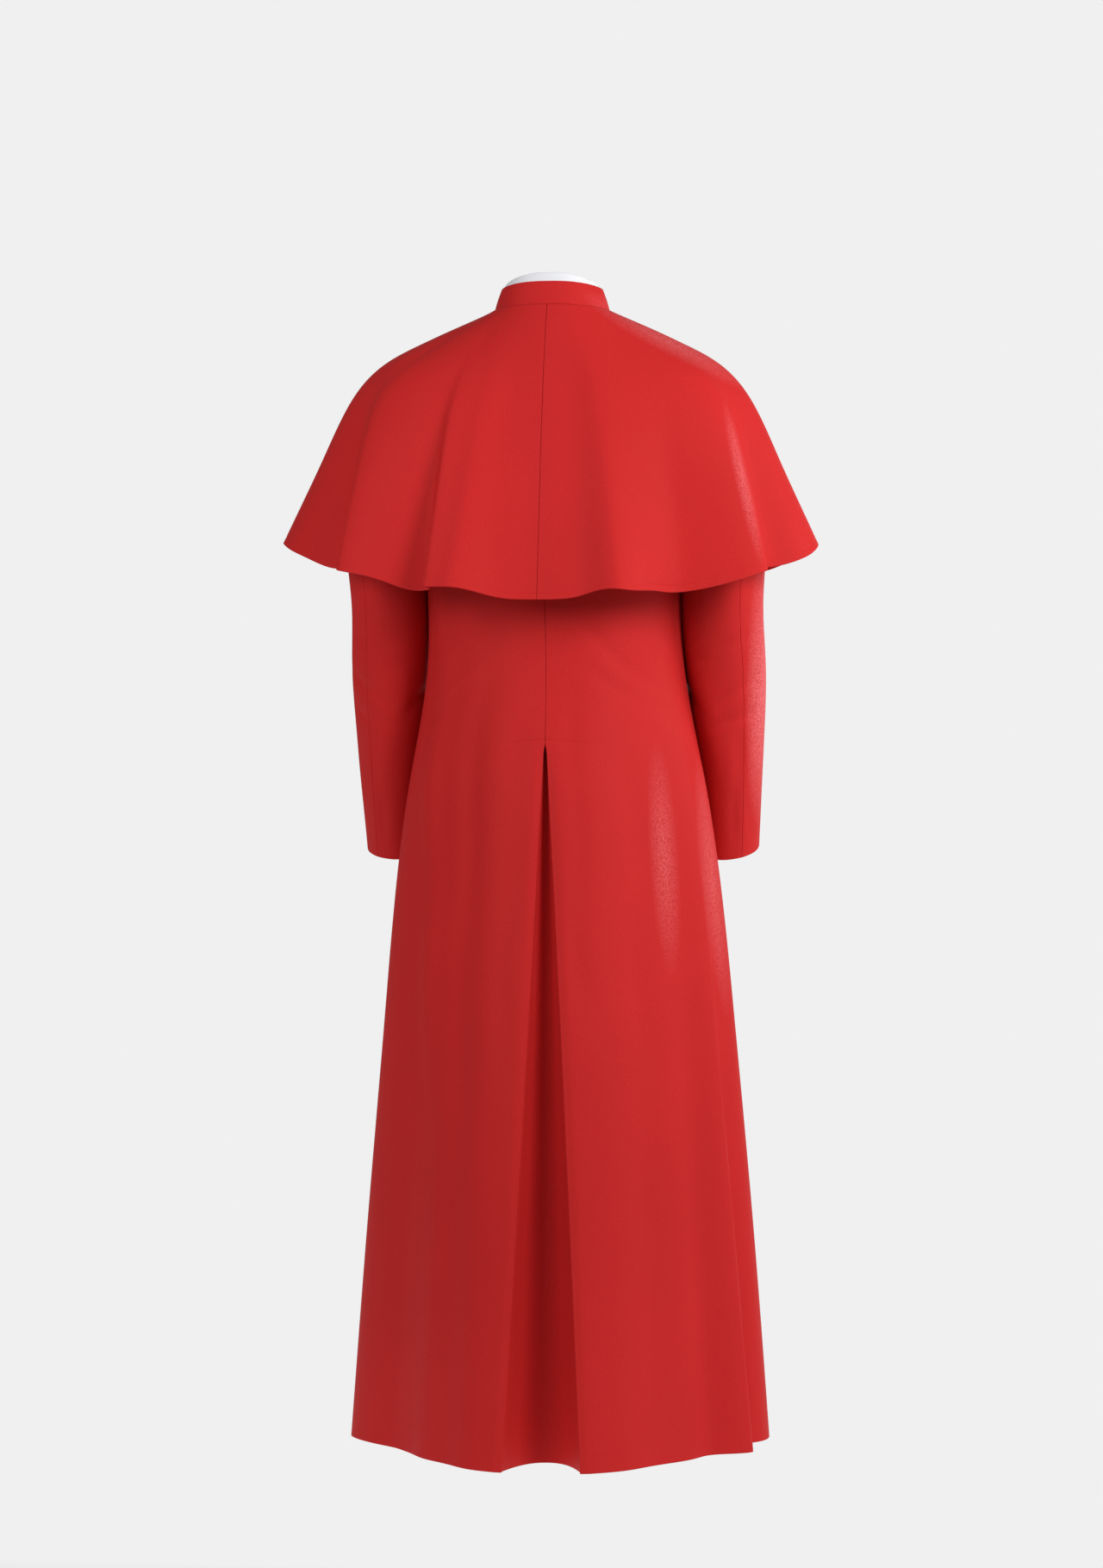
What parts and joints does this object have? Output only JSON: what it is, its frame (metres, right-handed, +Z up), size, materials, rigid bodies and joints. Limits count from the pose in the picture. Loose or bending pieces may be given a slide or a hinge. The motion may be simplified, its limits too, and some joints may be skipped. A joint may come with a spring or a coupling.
{
  "type": "cassock with shoulder cape",
  "caption": "Floor-length cassock with a shoulder cape, a stand collar with a white liner, long plain sleeves and a pleated back, hollow and in its worn shape.",
  "frame": {"origin": "middle of the neck opening, level with the collar seam at the nape, where the wearer's neck and shoulders hold the garment up", "axes": "+Z up along the body, -Y the way the garment faces, +X towards the wearer's left"},
  "size_m": [0.6798, 0.4635, 1.4716],
  "materials": {
    "red_wool": "smooth heavy red wool cloth with a faint sheen",
    "white_liner": "stiff matt white cloth",
    "button_cloth": "button covered in the same red cloth"
  },
  "bodies": {
    "root": {"back_left": "red_wool", "back_right": "red_wool", "button_01": "button_cloth", "button_02": "button_cloth", "button_03": "button_cloth", "button_04": "button_cloth", "button_05": "button_cloth", "button_06": "button_cloth", "button_07": "button_cloth", "button_08": "button_cloth", "button_09": "button_cloth", "button_10": "button_cloth", "button_11": "button_cloth", "button_12": "button_cloth", "button_13": "button_cloth", "button_14": "button_cloth", "button_15": "button_cloth", "button_16": "button_cloth", "button_17": "button_cloth", "button_18": "button_cloth", "button_19": "button_cloth", "button_20": "button_cloth", "button_21": "button_cloth", "button_22": "button_cloth", "button_23": "button_cloth", "button_24": "button_cloth", "button_25": "button_cloth", "button_26": "button_cloth", "button_27": "button_cloth", "button_28": "button_cloth", "button_29": "button_cloth", "button_30": "button_cloth", "button_31": "button_cloth", "button_32": "button_cloth", "button_33": "button_cloth", "cape_left": "red_wool", "cape_right": "red_wool", "centre_pleat": "red_wool", "collar": "red_wool", "collar_liner": "white_liner", "front_left": "red_wool", "front_right": "red_wool", "skirt_back_left": "red_wool", "skirt_back_right": "red_wool", "skirt_front_left": "red_wool", "skirt_front_right": "red_wool", "sleeve_left_under": "red_wool", "sleeve_left_upper": "red_wool", "sleeve_right_under": "red_wool", "sleeve_right_upper": "red_wool"}
  },
  "joints": []
}
